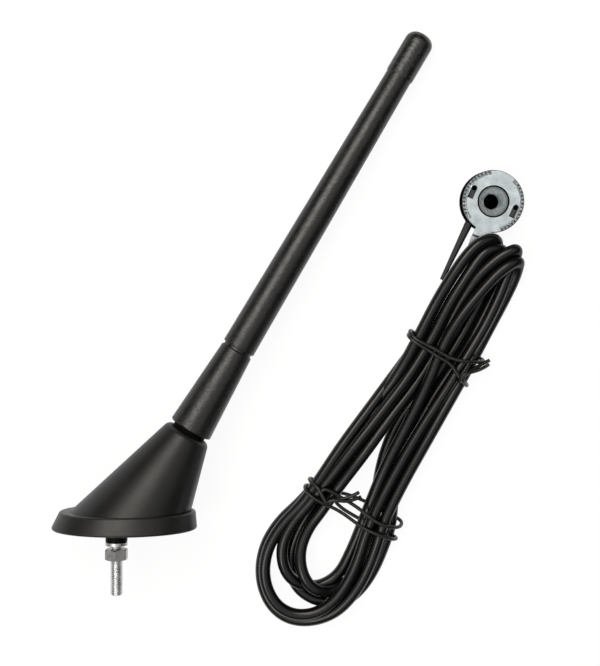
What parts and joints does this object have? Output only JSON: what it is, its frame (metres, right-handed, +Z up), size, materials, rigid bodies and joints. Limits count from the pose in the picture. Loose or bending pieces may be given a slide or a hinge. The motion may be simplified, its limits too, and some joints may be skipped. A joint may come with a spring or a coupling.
{
  "type": "car mast aerial",
  "caption": "Car roof aerial: leaning rubber-covered mast on an oval base with a threaded roof stud, and its tied lead with a toothed earth terminal.",
  "frame": {"origin": "on the table, under the middle of the aerial's box (the lead left out), as the kit lies flat", "axes": "+Z up from the table, +Y along the roof stud towards the mast's tip, +X towards the lead"},
  "size_m": [0.2269, 0.2908, 0.0513],
  "materials": {
    "moulded_rubber": "satin moulded rubber",
    "moulded_plastic": "fine spark-eroded grain",
    "insulating_plastic": "plain moulded",
    "glass_fibre": "pultruded",
    "cast_zinc": "as cast",
    "brass": "turned",
    "copper_wire": "close wound enamelled wire",
    "zinc_plate": "bright zinc plated",
    "bright_steel": "turned and plated",
    "cable_jacket": "smooth extruded jacket",
    "tie_cover": "soft covering"
  },
  "bodies": {
    "root": {"base_core": "cast_zinc", "base_cover": "moulded_plastic", "base_gasket": "moulded_rubber", "centre_eyelet": "bright_steel", "ground_disc": "zinc_plate", "insulator_plate": "insulating_plastic", "lead_hank": "cable_jacket", "lead_tail": "cable_jacket", "lower_tie": "tie_cover", "mast_bush": "brass", "plug_body": "bright_steel", "plug_insulator": "insulating_plastic", "plug_pin": "brass", "plug_sleeve": "tie_cover", "roof_stud": "zinc_plate", "terminal_collar": "insulating_plastic", "upper_tie": "tie_cover"},
    "seal": {"seal_ring": "moulded_rubber"},
    "mast": {"mast_stud": "bright_steel", "mast_ferrule": "brass", "mast_grip": "moulded_plastic", "mast_rod": "moulded_plastic", "radiator_core": "glass_fibre", "radiator_winding": "copper_wire", "tip_cap": "moulded_rubber"},
    "washer": {"lock_washer": "zinc_plate"},
    "nut": {"roof_nut": "zinc_plate"}
  },
  "joints": [
    {"name": "seal_slide", "type": "slide", "parent": "root", "child": "seal", "axis": [0.509, 0.8578, -0.0705], "range_m": [0, 0.0096]},
    {"name": "mast_turn", "type": "hinge", "parent": "seal", "child": "mast", "pos_m": [-0.02518, -0.05623, 0.02199], "axis": [0.509, 0.8578, -0.0705], "range_deg": [0, 4320]},
    {"name": "washer_slide", "type": "slide", "parent": "root", "child": "washer", "axis": [0, -0.9966, 0.0819], "range_m": [0, 0.016]},
    {"name": "nut_turn", "type": "hinge", "parent": "washer", "child": "nut", "pos_m": [-0.05948, -0.10188, 0.02574], "axis": [0, -0.9966, 0.0819], "range_deg": [0, 5760]}
  ],
  "couplings": [
    {"joint": "mast_turn", "follows": "seal_slide", "rad_per_m": 7854},
    {"joint": "nut_turn", "follows": "washer_slide", "rad_per_m": 6283.2}
  ]
}
